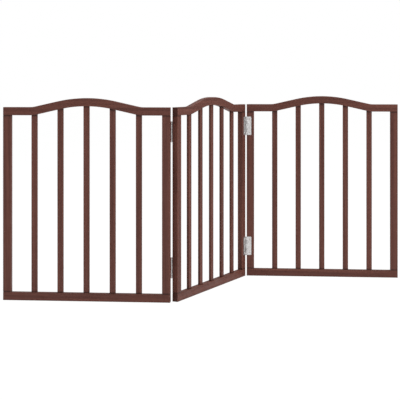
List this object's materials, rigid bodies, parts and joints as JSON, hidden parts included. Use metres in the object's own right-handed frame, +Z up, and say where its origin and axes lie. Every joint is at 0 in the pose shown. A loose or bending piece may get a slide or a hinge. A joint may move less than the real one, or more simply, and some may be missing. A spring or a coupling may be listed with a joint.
{
  "type": "pet gate",
  "caption": "Free-standing folding gate of arched, slatted wooden panels in dark stain, joined in a Z by steel butt hinges.",
  "frame": {"origin": "on the floor, under the centre of the middle panel, which is also the middle of the whole gate's footprint", "axes": "+Z up, +X along the outer panels to the right as seen from the front, -Y towards the front"},
  "size_m": [1.2228, 0.51, 0.6104],
  "materials": {
    "stained_wood": "dark mahogany stain under a satin lacquer, fine straight grain along each board",
    "hinge_steel": "zinc-plated pressed steel, satin",
    "screw_steel": "zinc-plated, brighter than the leaves"
  },
  "bodies": {
    "left_panel": {"left_panel_top_rail": "stained_wood", "left_panel_bottom_rail": "stained_wood", "left_panel_left_stile": "stained_wood", "left_panel_right_stile": "stained_wood", "left_panel_slat_1": "stained_wood", "left_panel_slat_2": "stained_wood", "left_panel_slat_3": "stained_wood", "left_panel_slat_4": "stained_wood", "left_panel_slat_5": "stained_wood", "left_upper_hinge_three_knuckle_leaf": "hinge_steel", "left_upper_hinge_pin": "hinge_steel", "left_upper_hinge_outer_screw_first": "screw_steel", "left_upper_hinge_outer_screw_second": "screw_steel", "left_lower_hinge_three_knuckle_leaf": "hinge_steel", "left_lower_hinge_pin": "hinge_steel", "left_lower_hinge_outer_screw_first": "screw_steel", "left_lower_hinge_outer_screw_second": "screw_steel"},
    "middle_panel": {"middle_panel_top_rail": "stained_wood", "middle_panel_bottom_rail": "stained_wood", "middle_panel_left_stile": "stained_wood", "middle_panel_right_stile": "stained_wood", "middle_panel_slat_1": "stained_wood", "middle_panel_slat_2": "stained_wood", "middle_panel_slat_3": "stained_wood", "middle_panel_slat_4": "stained_wood", "middle_panel_slat_5": "stained_wood", "left_upper_hinge_two_knuckle_leaf": "hinge_steel", "left_upper_hinge_inner_screw_first": "screw_steel", "left_upper_hinge_inner_screw_second": "screw_steel", "left_lower_hinge_two_knuckle_leaf": "hinge_steel", "left_lower_hinge_inner_screw_first": "screw_steel", "left_lower_hinge_inner_screw_second": "screw_steel", "right_upper_hinge_two_knuckle_leaf": "hinge_steel", "right_upper_hinge_inner_screw_first": "screw_steel", "right_upper_hinge_inner_screw_second": "screw_steel", "right_lower_hinge_two_knuckle_leaf": "hinge_steel", "right_lower_hinge_inner_screw_first": "screw_steel", "right_lower_hinge_inner_screw_second": "screw_steel"},
    "right_panel": {"right_panel_top_rail": "stained_wood", "right_panel_bottom_rail": "stained_wood", "right_panel_left_stile": "stained_wood", "right_panel_right_stile": "stained_wood", "right_panel_slat_1": "stained_wood", "right_panel_slat_2": "stained_wood", "right_panel_slat_3": "stained_wood", "right_panel_slat_4": "stained_wood", "right_panel_slat_5": "stained_wood", "right_upper_hinge_three_knuckle_leaf": "hinge_steel", "right_upper_hinge_pin": "hinge_steel", "right_upper_hinge_outer_screw_first": "screw_steel", "right_upper_hinge_outer_screw_second": "screw_steel", "right_lower_hinge_three_knuckle_leaf": "hinge_steel", "right_lower_hinge_pin": "hinge_steel", "right_lower_hinge_outer_screw_first": "screw_steel", "right_lower_hinge_outer_screw_second": "screw_steel"}
  },
  "joints": [
    {"name": "left_fold", "type": "hinge", "parent": "middle_panel", "child": "left_panel", "pos_m": [-0.1013, -0.23548, 0.3], "axis": [0, 0, 1], "range_deg": [-110.93, 69.07]},
    {"name": "right_fold", "type": "hinge", "parent": "middle_panel", "child": "right_panel", "pos_m": [0.1013, 0.23548, 0.3], "axis": [0, 0, 1], "range_deg": [-110.93, 69.07]}
  ]
}
